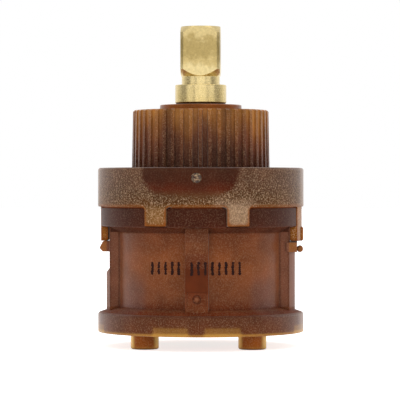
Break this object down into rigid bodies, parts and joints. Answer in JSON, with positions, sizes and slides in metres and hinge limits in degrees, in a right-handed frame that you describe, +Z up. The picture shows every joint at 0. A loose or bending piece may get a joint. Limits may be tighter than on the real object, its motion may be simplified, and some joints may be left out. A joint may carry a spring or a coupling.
{
  "type": "diverter valve cartridge",
  "caption": "Translucent brown diverter cartridge: square brass stem, splined neck and clip-on cap over a ribbed base with locating pegs; turning the stem switches the water outlet.",
  "frame": {"origin": "centre of the inlet port in the base's seat plane", "axes": "+Z up the stem; -Y towards the side with the two locating pegs and the narrow gate rib; +X to the right seen from there"},
  "size_m": [0.04, 0.04, 0.0621],
  "materials": {
    "amber_plastic": "translucent amber-brown, finely spark-eroded",
    "brass": "turned and milled",
    "black_rubber": "smooth, lightly greased",
    "ceramic": "opaque lapped alumina",
    "white_plastic": "moulded satin",
    "spring_steel": "blanked",
    "dark_bush_plastic": "moulded satin"
  },
  "bodies": {
    "housing": {"upper_housing": "amber_plastic", "lower_housing": "amber_plastic", "stem_bush": "dark_bush_plastic", "thrust_washer": "white_plastic", "fixed_disc": "ceramic", "disc_seal_inlet": "black_rubber", "disc_seal_middle": "black_rubber", "disc_seal_left": "black_rubber", "disc_seal_right": "black_rubber", "housing_seal": "black_rubber", "port_seal_inlet": "black_rubber", "port_seal_middle": "black_rubber", "port_seal_left": "black_rubber", "port_seal_right": "black_rubber"},
    "spindle": {"stem": "brass", "stem_seal_upper": "black_rubber", "stem_seal_lower": "black_rubber", "stem_retaining_ring": "spring_steel", "rotor": "white_plastic", "moving_disc": "ceramic"}
  },
  "joints": [
    {"name": "stem_turn", "type": "hinge", "parent": "housing", "child": "spindle", "pos_m": [0, 0, 0.044], "axis": [0, 0, 1], "range_deg": [-60, 60]}
  ]
}
